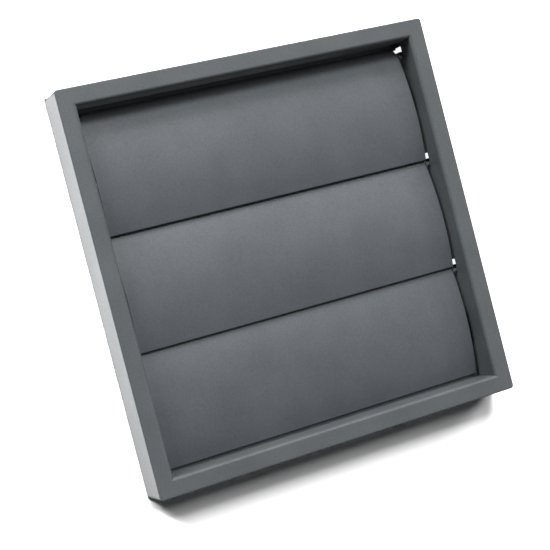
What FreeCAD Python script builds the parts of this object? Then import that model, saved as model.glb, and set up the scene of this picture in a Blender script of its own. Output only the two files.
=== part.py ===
import FreeCAD, Part
import math
import os
import re
import Sketcher

# Gravity vent grille: a square moulded frame with three curved flaps, each hung on two moulded pins.
# +Z is up, the flaps face -Y, and the origin is the middle of the plane that goes against the wall.

doc = FreeCAD.newDocument("gravity_vent_grille")
sheet = doc.addObject("Spreadsheet::Sheet", "Sizes")

# Millimetres and degrees. Depths are measured back from the front face of the rim.
SIZES = {
    # Frame: an outer wall, a rim and an inner wall make a channel that is open at the back.
    "face_size": 140.0,
    "frame_depth": 15.6,
    "rim_width": 6.4,
    "rim_thickness": 1.8,
    "outer_wall": 1.8,
    "inner_wall": 1.5,
    "corner_radius": 2.0,
    "rim_edge_radius": 0.8,
    "opening_edge_radius": 0.5,
    "rear_lip_depth": 1.0,
    # Webs that tie the inner wall to the outer wall across the channel.
    "brace_thickness": 1.2,
    "brace_depth": 10.0,
    # Upstands at the top and bottom of the opening, set back behind the line of the pivots.
    "stop_setback": 3.0,
    "stop_thickness": 1.2,
    "stop_height": 1.9,
    "stop_end_gap": 2.1,
    # Reliefs in the top wall at both ends of the upper upstand.
    "relief_width": 3.2,
    "relief_depth": 8.6,
    # Lugs for the four wall screws.
    "screw_inset": 6.6,
    "screw_drop": 18.6,
    "screw_hole": 4.5,
    "screw_head": 8.0,
    "lug_height": 12.0,
    "lug_reach": 12.4,
    "lug_thickness": 3.0,
    "lug_corner_radius": 4.0,
    # Pivots: each pin drops into the round foot of a slot that opens at the back of the inner wall.
    "top_pivot_drop": 5.3,
    "pin_setback": 0.2,
    "pin_diameter": 2.0,
    "pin_clearance": 0.05,
    "pin_end_gap": 1.6,
    "slot_drop": 3.2,
    # Flaps: a slice of a thin tube, hung near its top edge, bulging forward.
    "flap_thickness": 1.2,
    "flap_curve_radius": 80.0,
    "flap_crown_depth": 5.9,
    "flap_rise": 3.7,
    "flap_lap_gap": 1.4,
    "flap_seat_gap": 0.35,
    "flap_sill_gap": 1.2,
    "flap_side_gap": 0.9,
    "flap_corner_cut": 3.0,
    "flap_lip_radius": 0.5,
}

# Half the opening, and the three equal spaces that the flaps share from the top pivot to the sill.
OPENING = "(face_size / 2 - rim_width)"
TOP_PIVOT = f"({OPENING} - top_pivot_drop)"
PITCH = f"((2 * {OPENING} - top_pivot_drop + flap_lap_gap - flap_sill_gap) / 3)"
# A blade hangs to just above the next pivot, and its lip closes just in front of the next blade.
# Both blades are the same arc, so that fixes how far the crown lies below the pivot.
DROP = f"({PITCH} - flap_lap_gap)"
CROWN_DROP = (f"({PITCH} / 2 + flap_curve_radius * (flap_thickness + flap_seat_gap) / {PITCH}"
              " - flap_lap_gap)")
CENTRE_DEPTH = "(flap_crown_depth + flap_curve_radius)"
PIVOT_DEPTH = f"({CENTRE_DEPTH} - sqrt(flap_curve_radius ^ 2 - {CROWN_DROP} ^ 2) + pin_setback)"
LIP_DEPTH = f"({CENTRE_DEPTH} - sqrt(flap_curve_radius ^ 2 - ({DROP} - {CROWN_DROP}) ^ 2))"
STOP_DEPTH = f"({PIVOT_DEPTH} + stop_setback)"
# The lowest flap has no blade below it to close on, so it hangs in to the lower upstand.
BOTTOM_ANGLE = f"asin(({STOP_DEPTH} - flap_seat_gap - flap_thickness - {LIP_DEPTH}) / {DROP})"
FLAP_HALF_WIDTH = f"({OPENING} - flap_side_gap)"
for row, (name, value) in enumerate(SIZES.items(), start=1):
    sheet.set(f"A{row}", name)
    sheet.set(f"B{row}", str(value))
    sheet.setAlias(f"B{row}", name)
doc.recompute()


def size(expression):
    """The value of an expression in the names of the sheet."""
    return float(sheet.evalExpression(expression))


def plane(body, role):
    return next(feature for feature in body.Origin.OriginFeatures if feature.Role == role)


def bound(names):
    """An expression in the sheet's bare names, as a feature outside the sheet has to write it."""
    return re.sub("[a-z_]+", lambda word: f"Sizes.{word[0]}" if word[0] in SIZES else word[0], names)


def sketch_on(body, name, role, offset="0"):
    """An empty sketch on one of the body's origin planes, moved along that plane's normal."""
    sketch = body.newObject("Sketcher::SketchObject", name)
    sketch.AttachmentSupport = (plane(body, role), [""])
    sketch.MapMode = "FlatFace"
    sketch.setExpression("AttachmentOffset.Base.z", bound(offset))
    return sketch


def dimension(sketch, kind, geometry, point, expression):
    """Hold a point of the geometry at a signed distance from the sketch's origin."""
    index = sketch.addConstraint(Sketcher.Constraint(kind, -1, 1, geometry, point, size(expression)))
    sketch.setExpression(f"Constraints[{index}]", bound(expression))


def outline(sketch, corners):
    """A closed outline of straight lines through corners given as pairs of expressions."""
    points = [FreeCAD.Vector(size(across), size(up), 0) for across, up in corners]
    count = len(points)
    first = sketch.GeometryCount
    for index in range(count):
        sketch.addGeometry(Part.LineSegment(points[index], points[(index + 1) % count]), False)
    for index in range(count):
        following = first + (index + 1) % count
        sketch.addConstraint(Sketcher.Constraint("Coincident", first + index, 2, following, 1))
    for index, (across, up) in enumerate(corners):
        dimension(sketch, "DistanceX", first + index, 1, across)
        dimension(sketch, "DistanceY", first + index, 1, up)


def rectangle(sketch, left, right, low, high):
    outline(sketch, [(left, low), (right, low), (right, high), (left, high)])


def square(sketch, half):
    rectangle(sketch, f"-({half})", half, f"-({half})", half)


def pad(body, name, sketch, length, midplane=False):
    feature = body.newObject("PartDesign::Pad", name)
    feature.Profile = sketch
    feature.Midplane = midplane
    feature.setExpression("Length", bound(length))
    doc.recompute()
    return feature


def pocket(body, name, sketch, length, midplane=False):
    """Cut the sketch's outline to a length, forward from its plane or to both sides of it."""
    before = body.Tip.Shape.Volume
    feature = body.newObject("PartDesign::Pocket", name)
    feature.Profile = sketch
    feature.Midplane = midplane
    feature.Reversed = not midplane
    feature.setExpression("Length", bound(length))
    doc.recompute()
    if feature.Shape.Volume > before - 1.0:
        raise RuntimeError(f"{name} cuts nothing")
    return feature


def fillet(body, name, radius, chosen):
    """Round the edges of the body's last feature that a test picks by their box."""
    base = body.Tip
    feature = body.newObject("PartDesign::Fillet", name)
    edges = [f"Edge{index}" for index, edge in enumerate(base.Shape.Edges, start=1) if chosen(edge.BoundBox)]
    feature.Base = (base, edges)
    feature.setExpression("Radius", bound(radius))
    doc.recompute()
    return feature


def near(first, second):
    return abs(first - second) < 0.01


def make_frame():
    """The frame: one moulding, built from the back plane forward."""
    body = doc.addObject("PartDesign::Body", "frame")
    body.Label = "frame"
    half = "face_size / 2"
    front = -size("frame_depth")

    block = sketch_on(body, "block_outline", "XZ_Plane", "rear_lip_depth")
    square(block, half)
    pad(body, "block", block, "frame_depth - rear_lip_depth")
    fillet(body, "block_corners", "corner_radius",
           lambda box: box.YLength > size("rear_lip_depth") and box.XLength + box.ZLength < 0.01)
    fillet(body, "rim_edge", "rim_edge_radius", lambda box: near(box.YMin, front) and near(box.YMax, front))
    lip = sketch_on(body, "rear_lip_outline", "XZ_Plane")
    square(lip, half)
    pad(body, "rear_lip", lip, "rear_lip_depth")

    hole = sketch_on(body, "opening_outline", "XZ_Plane")
    square(hole, OPENING)
    pocket(body, "opening", hole, "frame_depth")
    fillet(body, "opening_edge", "opening_edge_radius",
           lambda box: near(box.YMin, front) and near(box.YMax, front)
           and max(box.XMax, box.ZMax) < size(OPENING) + 0.01)
    channel = sketch_on(body, "channel_outline", "XZ_Plane")
    square(channel, f"{half} - outer_wall")
    square(channel, f"{OPENING} + inner_wall")
    pocket(body, "channel", channel, "frame_depth - rim_thickness")

    add_braces(body, half)
    cut_slots(body)
    add_stops(body)
    add_lugs(body)
    return body


def add_braces(body, half):
    """Three webs across each side of the channel, midway between the pivots, clear of the pins."""
    sketch = sketch_on(body, "brace_outlines", "XZ_Plane", "frame_depth - rim_thickness - brace_depth")
    inside = f"({OPENING} + inner_wall / 2)"
    outside = f"({half} - outer_wall / 2)"
    thick = "brace_thickness / 2"
    for row in range(3):
        level = f"({TOP_PIVOT} - {PITCH} * {row + 0.5})"
        rectangle(sketch, inside, outside, f"{level} - {thick}", f"{level} + {thick}")
        rectangle(sketch, f"-{outside}", f"-{inside}", f"{level} - {thick}", f"{level} + {thick}")
        across = f"({PITCH} * {row - 1})"
        rectangle(sketch, f"{across} - {thick}", f"{across} + {thick}", inside, outside)
        rectangle(sketch, f"{across} - {thick}", f"{across} + {thick}", f"-{outside}", f"-{inside}")
    pad(body, "braces", sketch, "brace_depth + rim_thickness / 2")


def cut_slots(body):
    """Slots for the pins in both side walls: in from the back, then down to a round foot."""
    depth = f"({PIVOT_DEPTH} - frame_depth)"
    reach = "(pin_diameter / 2 + pin_clearance)"
    height = TOP_PIVOT
    sketch = sketch_on(body, "slot_outline", "YZ_Plane")
    corners = [
        (f"{depth} + {reach}", height),
        (f"{depth} + {reach}", f"{height} + slot_drop - {reach}"),
        ("rear_lip_depth", f"{height} + slot_drop - {reach}"),
        ("rear_lip_depth", f"{height} + slot_drop + {reach}"),
        (f"{depth} - {reach}", f"{height} + slot_drop + {reach}"),
        (f"{depth} - {reach}", height),
    ]
    points = [FreeCAD.Vector(size(across), size(up), 0) for across, up in corners]
    for start, end in zip(points, points[1:]):
        sketch.addGeometry(Part.LineSegment(start, end), False)
    foot = Part.Circle(FreeCAD.Vector(size(depth), size(height), 0), FreeCAD.Vector(0, 0, 1), size(reach))
    arc = sketch.addGeometry(Part.ArcOfCircle(foot, math.pi, 2 * math.pi), False)
    for index in range(arc - 1):
        sketch.addConstraint(Sketcher.Constraint("Coincident", index, 2, index + 1, 1))
    sketch.addConstraint(Sketcher.Constraint("Coincident", arc - 1, 2, arc, 1))
    sketch.addConstraint(Sketcher.Constraint("Coincident", arc, 2, 0, 1))
    for index in range(arc):
        dimension(sketch, "DistanceX", index, 1, corners[index][0])
        dimension(sketch, "DistanceY", index, 1, corners[index][1])
    dimension(sketch, "DistanceY", arc, 3, height)
    dimension(sketch, "DistanceX", arc, 1, corners[-1][0])
    dimension(sketch, "DistanceY", arc, 1, corners[-1][1])
    cut = pocket(body, "slot", sketch, f"2 * ({OPENING} + inner_wall + pin_clearance)", midplane=True)

    pattern = body.newObject("PartDesign::LinearPattern", "slots")
    pattern.Originals = [cut]
    pattern.Direction = (plane(body, "Z_Axis"), [""])
    pattern.Reversed = True
    pattern.Occurrences = 3
    pattern.setExpression("Length", bound(f"2 * {PITCH}"))
    body.Tip = pattern
    doc.recompute()


def add_stops(body):
    """Upstands that close the gaps behind the highest and lowest edges, and stop the lowest flap."""
    relief = sketch_on(body, "relief_outlines", "XZ_Plane")
    wall_top = f"{OPENING} + inner_wall"
    rectangle(relief, f"{OPENING} + inner_wall / 2 - relief_width", f"{OPENING} + inner_wall / 2",
              f"{OPENING} - pin_clearance", wall_top)
    rectangle(relief, f"-({OPENING} + inner_wall / 2)", f"relief_width - ({OPENING} + inner_wall / 2)",
              f"{OPENING} - pin_clearance", wall_top)
    pocket(body, "reliefs", relief, "frame_depth - relief_depth")

    sketch = sketch_on(body, "stop_outlines", "XZ_Plane", f"frame_depth - {STOP_DEPTH} - stop_thickness")
    reach = f"({OPENING} - stop_end_gap)"
    root = f"({OPENING} + inner_wall / 2)"
    rectangle(sketch, f"-{reach}", reach, f"{OPENING} - stop_height", root)
    rectangle(sketch, f"-{reach}", reach, f"-{root}", f"stop_height - {OPENING}")
    pad(body, "stops", sketch, "stop_thickness")


def add_lugs(body):
    """Four lugs flush with the back, each with a countersunk hole for a wall screw."""
    sketch = sketch_on(body, "lug_outlines", "XZ_Plane")
    root = f"({OPENING} + inner_wall / 2)"
    free = f"({OPENING} - lug_reach)"
    low = f"({OPENING} - screw_drop - lug_height / 2)"
    high = f"({OPENING} - screw_drop + lug_height / 2)"
    rectangle(sketch, free, root, low, high)
    rectangle(sketch, f"-{root}", f"-{free}", low, high)
    rectangle(sketch, free, root, f"-{high}", f"-{low}")
    rectangle(sketch, f"-{root}", f"-{free}", f"-{high}", f"-{low}")
    pad(body, "lugs", sketch, "lug_thickness")
    fillet(body, "lug_corners", "lug_corner_radius",
           lambda box: near(box.YLength, size("lug_thickness")) and box.XLength + box.ZLength < 0.01
           and near(min(abs(box.XMin), abs(box.XMax)), size(free)))

    centres = sketch_on(body, "screw_centres", "XZ_Plane", "lug_thickness")
    for side in (1, -1):
        for level in (1, -1):
            centre = (f"{side} * ({OPENING} - screw_inset)", f"{level} * ({OPENING} - screw_drop)")
            place = FreeCAD.Vector(size(centre[0]), size(centre[1]), 0)
            circle = centres.addGeometry(
                Part.Circle(place, FreeCAD.Vector(0, 0, 1), size("screw_hole / 2")), False)
            dimension(centres, "DistanceX", circle, 3, centre[0])
            dimension(centres, "DistanceY", circle, 3, centre[1])
            index = centres.addConstraint(Sketcher.Constraint("Diameter", circle, size("screw_hole")))
            centres.setExpression(f"Constraints[{index}]", bound("screw_hole"))
    doc.recompute()
    before = body.Tip.Shape.Volume
    holes = body.newObject("PartDesign::Hole", "screw_holes")
    holes.Profile = centres
    holes.DepthType = "ThroughAll"
    holes.HoleCutType = "Countersink"
    holes.HoleCutCustomValues = True
    holes.setExpression("Diameter", bound("screw_hole"))
    holes.setExpression("HoleCutDiameter", bound("screw_head"))
    holes.HoleCutCountersinkAngle = 90.0
    doc.recompute()
    if holes.Shape.Volume > before - 1.0:
        raise RuntimeError("the screw holes cut nothing")


def make_flap(name, row):
    """One flap, drawn about its own pivot: the curved blade, its cut top corners and its two pins."""
    body = doc.addObject("PartDesign::Body", name)
    body.Label = name

    # The blade's section is a ring sector whose centre lies behind the crown.
    centre = (f"{CENTRE_DEPTH} - {PIVOT_DEPTH}", f"-{CROWN_DROP}")
    middle = FreeCAD.Vector(size(centre[0]), size(centre[1]), 0)
    radius = size("flap_curve_radius")
    top = math.pi - math.asin(size(f"(flap_rise + {CROWN_DROP}) / flap_curve_radius"))
    lip = math.pi + math.asin(size(f"({DROP} - {CROWN_DROP}) / flap_curve_radius"))
    section = sketch_on(body, "blade_section", "YZ_Plane")
    axis = FreeCAD.Vector(0, 0, 1)
    rear = radius - size("flap_thickness")
    section.addGeometry(Part.ArcOfCircle(Part.Circle(middle, axis, radius), top, lip), False)
    section.addGeometry(Part.ArcOfCircle(Part.Circle(middle, axis, rear), top, lip), False)
    face, back = section.Geometry
    section.addGeometry(Part.LineSegment(face.StartPoint, back.StartPoint), False)
    section.addGeometry(Part.LineSegment(face.EndPoint, back.EndPoint), False)
    for first, start, second, end in ((0, 1, 2, 1), (2, 2, 1, 1), (0, 2, 3, 1), (3, 2, 1, 2), (0, 3, 1, 3)):
        section.addConstraint(Sketcher.Constraint("Coincident", first, start, second, end))
    section.addConstraint(Sketcher.Constraint("PointOnObject", 0, 3, 2))
    section.addConstraint(Sketcher.Constraint("PointOnObject", 0, 3, 3))
    dimension(section, "DistanceX", 0, 3, centre[0])
    dimension(section, "DistanceY", 0, 3, centre[1])
    dimension(section, "DistanceY", 0, 1, "flap_rise")
    dimension(section, "DistanceY", 0, 2, f"-{DROP}")
    for arc, length in ((0, "flap_curve_radius"), (1, "flap_curve_radius - flap_thickness")):
        index = section.addConstraint(Sketcher.Constraint("Radius", arc, size(length)))
        section.setExpression(f"Constraints[{index}]", bound(length))
    pad(body, "blade", section, f"2 * {FLAP_HALF_WIDTH}", midplane=True)
    lip_level = -size(DROP)
    fillet(body, "lip_edge", "flap_lip_radius",
           lambda box: near(box.ZMin, lip_level) and near(box.ZMax, lip_level)
           and box.XLength > size("flap_thickness"))

    corners = sketch_on(body, "corner_cuts", "XZ_Plane", "-flap_curve_radius / 2")
    outer = f"({FLAP_HALF_WIDTH} + flap_side_gap)"
    above = "(flap_rise + flap_side_gap)"
    for side in ("", "-"):
        outline(corners, [
            (f"{side}({FLAP_HALF_WIDTH} - flap_corner_cut - flap_side_gap)", above),
            (f"{side}{outer}", above),
            (f"{side}{outer}", "flap_rise - flap_corner_cut - flap_side_gap"),
        ])
    pocket(body, "top_corners", corners, "flap_curve_radius")

    # Each pin starts inside the end of the blade and reaches across the frame's channel.
    pin = sketch_on(body, "pin_section", "YZ_Plane")
    circle = pin.addGeometry(
        Part.Circle(FreeCAD.Vector(0, 0, 0), axis, size("pin_diameter / 2")), False)
    pin.addConstraint(Sketcher.Constraint("Coincident", circle, 3, -1, 1))
    index = pin.addConstraint(Sketcher.Constraint("Diameter", circle, size("pin_diameter")))
    pin.setExpression(f"Constraints[{index}]", bound("pin_diameter"))
    reach = "(face_size / 2 - outer_wall - pin_end_gap)"
    pin.setExpression("AttachmentOffset.Base.z", bound(FLAP_HALF_WIDTH))
    right = pad(body, "right_pin", pin, f"{reach} - {FLAP_HALF_WIDTH}")
    mirror = body.newObject("PartDesign::Mirrored", "pins")
    mirror.Originals = [right]
    mirror.MirrorPlane = (plane(body, "YZ_Plane"), [""])
    body.Tip = mirror
    doc.recompute()

    body.setExpression("Placement.Base.y", bound(f"{PIVOT_DEPTH} - frame_depth"))
    body.setExpression("Placement.Base.z", bound(f"{TOP_PIVOT} - {PITCH} * {row}"))
    return body


frame = make_frame()
flaps = [make_flap(name, row) for row, name in enumerate(("flap_top", "flap_middle", "flap_bottom"))]
flaps[-1].Placement.Rotation = FreeCAD.Rotation(FreeCAD.Vector(1, 0, 0), size(BOTTOM_ANGLE))
flaps[-1].setExpression("Placement.Rotation.Angle", bound(BOTTOM_ANGLE))
doc.recompute()

for item in doc.Objects:
    if any(state in ("Invalid", "Error") for state in item.State):
        raise RuntimeError(f"{item.Name} did not rebuild: {item.State}")
for part in [frame] + flaps:
    if part.Shape.isNull() or not part.Shape.isValid() or len(part.Shape.Solids) != 1:
        raise RuntimeError(f"{part.Label} is not one valid solid")

os.makedirs("parts", exist_ok=True)
for part in [frame] + flaps:
    part.Shape.exportStep(f"parts/{part.Label}.step")
    box = part.Shape.BoundBox
    print(f"{part.Label}: {part.Shape.Volume / 1000:.2f} cm3, "
          f"{box.XLength:.1f} x {box.YLength:.1f} x {box.ZLength:.1f} mm")
print(f"pivots at y {size(f'{PIVOT_DEPTH} - frame_depth'):.4f} mm, top z {size(TOP_PIVOT):.4f} mm, "
      f"pitch {size(PITCH):.4f} mm, bottom flap in {size(BOTTOM_ANGLE):.3f} degrees")
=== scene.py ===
"""Looks of the gravity vent grille: a moulded ABS frame with three hanging flaps, on a white wall.

Axes are the part's own: +Z up, the flaps face -Y, and the wall plane is y = 0. Lengths are written
in millimetres and turned to metres where a mesh is made. Lamps and the camera are placed in metres.
"""
import math

import bmesh
import bpy
import numpy as np
from mathutils import Matrix, Vector


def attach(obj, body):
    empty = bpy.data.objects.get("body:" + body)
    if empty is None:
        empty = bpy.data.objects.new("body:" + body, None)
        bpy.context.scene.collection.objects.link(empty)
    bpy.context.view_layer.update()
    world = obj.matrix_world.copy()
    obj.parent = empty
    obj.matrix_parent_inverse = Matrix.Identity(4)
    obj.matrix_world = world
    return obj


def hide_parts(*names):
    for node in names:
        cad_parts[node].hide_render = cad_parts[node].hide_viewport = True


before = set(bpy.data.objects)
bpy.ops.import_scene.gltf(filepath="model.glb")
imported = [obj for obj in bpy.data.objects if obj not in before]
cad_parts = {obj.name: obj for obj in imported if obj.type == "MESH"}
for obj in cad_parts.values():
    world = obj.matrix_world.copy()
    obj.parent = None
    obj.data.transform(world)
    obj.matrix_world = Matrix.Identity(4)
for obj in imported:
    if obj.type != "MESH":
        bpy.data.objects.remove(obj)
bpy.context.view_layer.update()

MM = 0.001


# Shader nodes and mesh pieces
def linear(code):
    """An sRGB hex colour as linear red, green, blue and alpha."""
    parts = [int(code[i:i + 2], 16) / 255 for i in (1, 3, 5)]
    return [c / 12.92 if c <= 0.04045 else ((c + 0.055) / 1.055) ** 2.4 for c in parts] + [1.0]


def add(tree, kind, sockets=None, **settings):
    """Adds a shader node with its settings. A socket takes a value, or the output of another node."""
    made = tree.nodes.new("ShaderNode" + kind)
    for name, value in settings.items():
        setattr(made, name, value)
    for name, value in (sockets or {}).items():
        if isinstance(value, bpy.types.NodeSocket):
            tree.links.new(value, made.inputs[name])
        else:
            made.inputs[name].default_value = value
    return made


def blank_material(name):
    """A node material with nothing in its tree."""
    material = bpy.data.materials.new(name)
    material.use_nodes = True
    material.node_tree.nodes.clear()
    return material, material.node_tree


def mesh_piece(name, points, faces, material):
    """A mesh object at the origin, from points in millimetres and a face list, smooth shaded."""
    data = bpy.data.meshes.new(name)
    data.from_pydata((np.asarray(points) * MM).tolist(), [], np.asarray(faces).tolist())
    data.materials.append(material)
    data.validate()
    data.shade_smooth()
    made = bpy.data.objects.new(name, data)
    bpy.context.scene.collection.objects.link(made)
    return made


# Moulded plastic
GRAIN = 0.65
FLOW = 16


def moulded_abs(name, light, dark, roughness):
    """Grey ABS, injection moulded in a steel tool with a fine spark-eroded face.

    The eroded grain is a few hundredths of a millimetre across, too fine to show, so it is drawn
    GRAIN across: shallow pits that spread each highlight, with painted shade that makes them slightly
    darker. The melt leaves a faint, slow unevenness of tone as well, FLOW across. ABS has an IOR of about
    1.53.
    """
    material, tree = blank_material(name)
    place = add(tree, "TexCoord").outputs["Object"]
    grain = add(tree, "TexNoise", {"Vector": place, "Scale": 1 / (GRAIN * MM), "Detail": 2.0,
                                   "Roughness": 0.6})
    flow = add(tree, "TexNoise", {"Vector": place, "Scale": 1 / (FLOW * MM), "Detail": 4.0,
                                  "Roughness": 0.5})
    # How much of the lighter tone shows: over half of it the slow flow, the rest the painted shade of the
    # pits.
    slow = add(tree, "MapRange", {"Value": flow.outputs["Fac"], "From Min": 0.3, "From Max": 0.7})
    # Painted shade: the tone is darker where the grain's bump is low, in its pits.
    pit_shade = add(tree, "MapRange", {"Value": grain.outputs["Fac"], "From Min": 0.35, "From Max": 0.6})
    share = add(tree, "Mix", {"Factor": 0.42, 2: slow.outputs["Result"], 3: pit_shade.outputs["Result"]})
    tone = add(tree, "Mix", {"Factor": share.outputs[0], 6: linear(dark), 7: linear(light)},
               data_type="RGBA")
    # The bottoms of the pits are a little rougher than the lands between them.
    matte = add(tree, "MapRange", {"Value": grain.outputs["Fac"], "From Min": 0.3, "From Max": 0.7,
                                   "To Min": roughness + 0.04, "To Max": roughness - 0.04})
    relief = add(tree, "Bump", {"Height": grain.outputs["Fac"], "Strength": 0.45, "Distance": 0.03 * MM})
    face = add(tree, "BsdfPrincipled", {"Base Color": tone.outputs[2], "Roughness": matte.outputs["Result"],
                                        "Normal": relief.outputs["Normal"], "IOR": 1.53,
                                        "Specular IOR Level": 0.25})
    add(tree, "OutputMaterial", {"Surface": face.outputs["BSDF"]})
    return material


# The frame and the flaps are two mouldings of the same mid grey, the flaps a touch bluer.
frame_abs = moulded_abs("moulded grey ABS of the frame", "#585c5e", "#4a4e51", 0.50)
flap_abs = moulded_abs("moulded grey ABS of the flaps", "#575b5f", "#4a4e52", 0.52)

# The frame's solid: half its face, half its opening, the rim's front plane and the rear lip.
HALF, OPENING, FRONT, LIP = 70.0, 63.6, -15.6, -1.0
# Radii of the outer corners, the rim's outer edge and the opening's edge, in the solid and here.
SOLID_CORNER, SOLID_RIM, SOLID_INNER = 2.0, 0.8, 0.5
CORNER, RIM, INNER = 1.2, 0.5, 1.3
# Where the upstands end in the solid, with their span in depth and height, and where they end here.
STOP_END, STOP_BACK, STOP_FRONT, STOP_LOW, STOP_HIGH = 61.5, -2.1, -3.5, 61.6, 64.5
STOP_REACH = OPENING - 0.02
# Half the width of a blade in the solid, the width of its cut corners, and what comes off each side here.
BLADE_HALF, CORNER_CUT, SIDE_TRIM = 62.7, 3.0, 0.6
BLADE_CUT = BLADE_HALF - CORNER_CUT
# How far outward the cut corners move. Those of the top flap are smaller than the others.
CUT_SHIFTS = {"flap_top": 1.2, "flap_middle": -SIDE_TRIM, "flap_bottom": -SIDE_TRIM}
# How close a point of the solid lies to the face or round that it belongs to.
NEAR = 0.01
# Points closer than MERGE are one, and faces that meet within FLAT degrees are joined. The tool leaves
# TOOL_RADIUS on every edge that turns by more than SHARP degrees.
MERGE, FLAT, SHARP, TOOL_RADIUS = 0.002, 0.4, 35, 0.12


# Frame
def on_round(inward, back, radius):
    """Which points lie on a quarter round between two faces, from their distances to both."""
    near = (inward > -NEAR) & (back > -NEAR) & (inward < radius + NEAR) & (back < radius + NEAR)
    return near & (np.abs(np.hypot(radius - inward, radius - back) - radius) < 2 * NEAR)


def finer_edges(points):
    """The frame's points with the edge radii that the photograph shows, for those of the solid.

    A quarter round scales about the sharp edge that it stands for: on the rim's outer edge by
    RIM / SOLID_RIM, on the opening's edge by INNER / SOLID_INNER. At an outer corner a point's
    distance from the arc's centre gives its depth in the wall, and the arc is drawn again about
    HALF - CORNER with that depth. The ends of the upstands go on to the side walls.
    """
    x, y, z = np.abs(points[:, 0]), points[:, 1], np.abs(points[:, 2])
    back = y - FRONT
    widest = np.maximum(x, z)
    # The opening's edge.
    inner = on_round(widest - OPENING, back, SOLID_INNER)
    grow = INNER / SOLID_INNER
    x_inner = np.where(x > OPENING, OPENING + (x - OPENING) * grow, x)
    z_inner = np.where(z > OPENING, OPENING + (z - OPENING) * grow, z)
    # The outer corners and the rim's outer edge.
    centre = HALF - SOLID_CORNER
    reach, turn = np.hypot(x - centre, z - centre), np.arctan2(z - centre, x - centre)
    corner = (x > centre - NEAR) & (z > centre - NEAR) & (y < LIP + NEAR)
    corner &= (reach > SOLID_CORNER - SOLID_RIM - NEAR) & (reach < SOLID_CORNER + NEAR)
    depth = np.where(corner, SOLID_CORNER - reach, HALF - widest)
    outer = on_round(depth, back, SOLID_RIM)
    depth = np.where(outer, depth * RIM / SOLID_RIM, depth)
    arc, radius = HALF - CORNER, CORNER - depth
    x_outer = np.where(corner, arc + radius * np.cos(turn), np.where(x == widest, HALF - depth, x))
    z_outer = np.where(corner, arc + radius * np.sin(turn), np.where(z == widest, HALF - depth, z))
    moved = corner | outer
    x_new = np.where(inner, x_inner, np.where(moved, x_outer, x))
    z_new = np.where(inner, z_inner, np.where(moved, z_outer, z))
    back = np.where(inner, back * grow, np.where(outer, back * RIM / SOLID_RIM, back))
    # The upstands' ends.
    stop = (np.abs(x - STOP_END) < NEAR) & (y > STOP_FRONT) & (y < STOP_BACK)
    stop &= (z > STOP_LOW) & (z < STOP_HIGH)
    x_new = np.where(stop, STOP_REACH, x_new)
    return np.column_stack([np.sign(points[:, 0]) * x_new, back + FRONT, np.sign(points[:, 2]) * z_new])


# Flaps
def narrower_blade(points, cut_shift):
    """A blade's points with its sides SIDE_TRIM further in and its cut corners cut_shift further out.

    The ends of the pins stay where they are, in the frame's slots.
    """
    x = np.abs(points[:, 0])
    side, cut = np.abs(x - BLADE_HALF) < SIDE_TRIM / 2, np.abs(x - BLADE_CUT) < SIDE_TRIM
    x_new = x - side * SIDE_TRIM + cut * cut_shift
    return np.column_stack([np.sign(points[:, 0]) * x_new, points[:, 1:]])


# Mouldings
def moulding(node, name, body, material, reshape, *sizes):
    """A merged copy of a CAD node, reshaped, with every sharp edge rounded as a moulding tool leaves it."""
    data = node.data.copy()
    data.name = name
    shape = bmesh.new()
    shape.from_mesh(data)
    bmesh.ops.remove_doubles(shape, verts=shape.verts, dist=MERGE * MM)
    bmesh.ops.dissolve_limit(shape, angle_limit=math.radians(FLAT), verts=shape.verts, edges=shape.edges)
    for face in shape.faces:
        face.smooth = True
    shape.to_mesh(data)
    shape.free()
    points = np.empty(len(data.vertices) * 3, dtype=np.float32)
    data.vertices.foreach_get("co", points)
    points = reshape(points.reshape(-1, 3).astype(float) / MM, *sizes) * MM
    data.vertices.foreach_set("co", points.astype(np.float32).ravel())
    data.update()
    if data.has_custom_normals:
        data.attributes.remove(data.attributes["custom_normal"])
    data.materials.clear()
    data.materials.append(material)
    made = bpy.data.objects.new(name, data)
    bpy.context.scene.collection.objects.link(made)
    edge = made.modifiers.new("tool radius", "BEVEL")
    edge.width, edge.segments = TOOL_RADIUS * MM, 2
    edge.limit_method, edge.angle_limit = "ANGLE", math.radians(SHARP)
    edge.use_clamp_overlap = True
    flat = made.modifiers.new("flat faces", "WEIGHTED_NORMAL")
    flat.mode, flat.weight, flat.keep_sharp = "FACE_AREA", 50, True
    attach(made, body)
    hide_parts(body)


moulding(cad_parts["frame"], "frame_moulding", "frame", frame_abs, finer_edges)
for flap, cut_shift in CUT_SHIFTS.items():
    moulding(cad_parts[flap], flap + "_moulding", flap, flap_abs, narrower_blade, cut_shift)


# Wall and duct
WALL_REACH, WALL_OPENING, WALL_BACK = 1500.0, 68.3, 0.05
# How light white paint is to the room, to a camera that over-exposes it, and to the camera where painted
# light covers the grille's shadow.
PAINT, EXPOSED, PAINTED_LIGHT_LEVEL = 0.85, 1.8, 4.5
# The upright line and the 45-degree line (x + z constant) left of which painted light covers the grille's
# shadow, and the band across them where the painted light fades.
PAINTED_LIGHT_SIDE, PAINTED_LIGHT_SLANT, FADE_START, FADE_END = -69.5, -143.0, -2.0, 1.5


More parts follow.
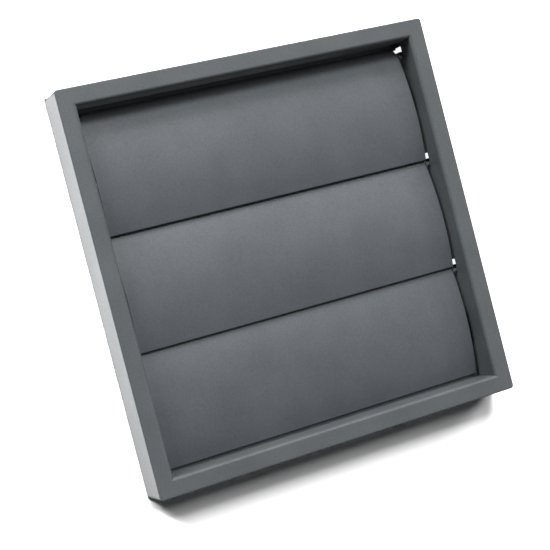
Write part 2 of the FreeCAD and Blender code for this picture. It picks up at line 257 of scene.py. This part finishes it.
def exposure_with_painted_light(tree):
    """How light the wall is to the camera: over-exposed white, rising left of the grille to painted light
    that covers the grille's shadow there.

    The photograph shows no shadow left of the grille's side, nor left of a line that falls from
    its lower left corner at 45 degrees.
    """
    place = add(tree, "SeparateXYZ", {0: add(tree, "TexCoord").outputs["Object"]}).outputs
    side = add(tree, "Math", {0: place["X"], 1: PAINTED_LIGHT_SIDE * MM}, operation="SUBTRACT")
    slant = add(tree, "Math", {0: place["X"], 1: place["Z"]}, operation="ADD")
    slant = add(tree, "Math", {0: slant.outputs[0], 1: PAINTED_LIGHT_SLANT * MM}, operation="SUBTRACT")
    inside = add(tree, "Math", {0: side.outputs[0], 1: slant.outputs[0]}, operation="MINIMUM")
    # Painted light: the camera sees the wall brighter where the grille's shadow would fall on its left.
    level = add(tree, "MapRange", {"Value": inside.outputs[0], "From Min": FADE_START * MM,
                                   "From Max": FADE_END * MM, "To Min": PAINTED_LIGHT_LEVEL, "To Max": EXPOSED},
                interpolation_type="SMOOTHSTEP")
    return level.outputs["Result"]


def wall():
    """A white wall with the square opening of the duct behind the grille: a ring of eight corners.

    It is left out of shadow rays and seen through from behind, so that it hides the grille from no side.
    """
    square = np.array([(-1, -1), (1, -1), (1, 1), (-1, 1)])
    flat = np.vstack([square * WALL_REACH, square * WALL_OPENING])
    points = np.column_stack([flat[:, 0], np.full(8, WALL_BACK), flat[:, 1]])
    faces = [(i, (i + 1) % 4, 4 + (i + 1) % 4, 4 + i) for i in range(4)]
    material, tree = blank_material("white wall paint")
    path = add(tree, "LightPath").outputs
    back = add(tree, "NewGeometry").outputs["Backfacing"]
    through = add(tree, "Math", {0: path["Is Shadow Ray"], 1: back}, operation="MAXIMUM")
    # To the camera the wall is over-exposed white, with painted light over the grille's shadow on its left.
    white = add(tree, "MapRange", {"Value": path["Is Camera Ray"], "To Min": PAINT,
                                   "To Max": exposure_with_painted_light(tree)})
    paint = add(tree, "BsdfDiffuse", {"Color": white.outputs["Result"]})
    clear = add(tree, "BsdfTransparent")
    both = add(tree, "MixShader", {0: through.outputs[0], 1: paint.outputs[0], 2: clear.outputs[0]})
    add(tree, "OutputMaterial", {"Surface": both.outputs[0]})
    mesh_piece("wall", points, faces, material)


def shade(name, points):
    """A black plate of four corners that the camera sees through."""
    material, tree = blank_material(name)
    path = add(tree, "LightPath").outputs
    clear = add(tree, "BsdfTransparent")
    dark = add(tree, "BsdfDiffuse", {"Color": linear("#000000")})
    both = add(tree, "MixShader", {0: path["Is Camera Ray"], 1: dark.outputs[0], 2: clear.outputs[0]})
    add(tree, "OutputMaterial", {"Surface": both.outputs[0]})
    mesh_piece(name, points, [(0, 1, 2, 3)], material)


def duct():
    """The sides of the duct behind the wall: four black plates that the camera sees through.

    They keep the lamps at the rear sides out of the gaps round the flaps. The left plate is the
    largest, because the camera looks from the left onto the wall that a lamp there would light.
    """
    half, near, shallow, deep = 69.0, 2 * WALL_BACK, 60.0, 400.0
    plates = {"duct_left": ((-1, -3), (-1, 3), deep), "duct_right": ((1, -1), (1, 1), shallow),
              "duct_top": ((-1, 1), (1, 1), shallow), "duct_bottom": ((-1, -1), (1, -1), shallow)}
    for name, (start, end, depth) in plates.items():
        (x0, z0), (x1, z1) = np.array((start, end)) * half
        shade(name, [(x0, near, z0), (x1, near, z1), (x1, depth, z1), (x0, depth, z0)])


# Lamps
def softbox(name, azimuth, elevation, distance, width, height, watts):
    """An area lamp in metres and watts, turned to the grille. Azimuth 0 is in front, 90 to the right."""
    a, e = math.radians(azimuth), math.radians(elevation)
    away = Vector((math.sin(a) * math.cos(e), -math.cos(a) * math.cos(e), math.sin(e)))
    lamp = bpy.data.lights.new(name, "AREA")
    lamp.shape, lamp.size, lamp.size_y, lamp.energy = "RECTANGLE", width, height, watts
    made = bpy.data.objects.new(name, lamp)
    made.location = away * distance
    made.rotation_mode = "QUATERNION"
    made.rotation_quaternion = away.to_track_quat("Z", "Y")
    made.visible_camera = False
    bpy.context.scene.collection.objects.link(made)


def white_world(ambient):
    """White to the camera and in gloss; a low even light for everything else."""
    world = bpy.data.worlds.new("white room")
    bpy.context.scene.world = world
    world.use_nodes = True
    tree = world.node_tree
    tree.nodes.clear()
    path = add(tree, "LightPath").outputs
    seen = add(tree, "Math", {0: path["Is Camera Ray"], 1: path["Is Glossy Ray"]}, operation="MAXIMUM")
    seen = add(tree, "Math", {0: seen.outputs[0], 1: path["Is Transmission Ray"]}, operation="MAXIMUM")
    level = add(tree, "MapRange", {"Value": seen.outputs[0], "To Min": ambient, "To Max": 1.0})
    light = add(tree, "Background", {"Color": linear("#ffffff"), "Strength": level.outputs["Result"]})
    add(tree, "OutputWorld", {"Surface": light.outputs[0]})


wall()
duct()
white_world(0.004)
# Each lamp's azimuth, elevation, distance, width, height and watts.
softbox("front_low", 20, 19, 2.2, 0.5, 0.4, 6.0)
softbox("front_above", 10, 33.5, 2.2, 0.5, 0.5, 28.5)
softbox("top", 5, 70, 2.2, 0.6, 0.5, 9.0)
softbox("right_above", 40, 52, 2.2, 0.4, 0.4, 12.0)
softbox("right", 60, 28, 2.2, 0.35, 0.7, 12.0)
softbox("left", -54, 46, 2.2, 1.1, 0.5, 40.0)
# The lamps behind the wall light the outer left and right walls, and the back for the views from there.
softbox("left_rear", -140, 3, 1.2, 0.4, 0.6, 18)
softbox("right_rear", 110, 25, 1.2, 0.3, 0.5, 8)
softbox("back", 170, 14, 1.6, 0.25, 0.3, 40)

# Camera, fitted to the corners of the grille's face in the photograph
scene = bpy.context.scene
scene.view_settings.view_transform = "Standard"
lens = bpy.data.cameras.new("camera")
lens.lens, lens.sensor_width, lens.sensor_height = 89.668, 36.0, 36.0
camera = bpy.data.objects.new("camera", lens)
place = Vector((-0.185116, -0.454883, 0.003298))
right = Vector((0.897818, -0.362691, -0.249754))
up = Vector((0.240158, -0.072118, 0.968051))
ahead = Vector((0.369115, 0.929115, -0.022355))
camera.matrix_world = Matrix.Translation(place) @ Matrix((right, up, -ahead)).transposed().to_4x4()
scene.collection.objects.link(camera)
scene.camera = camera
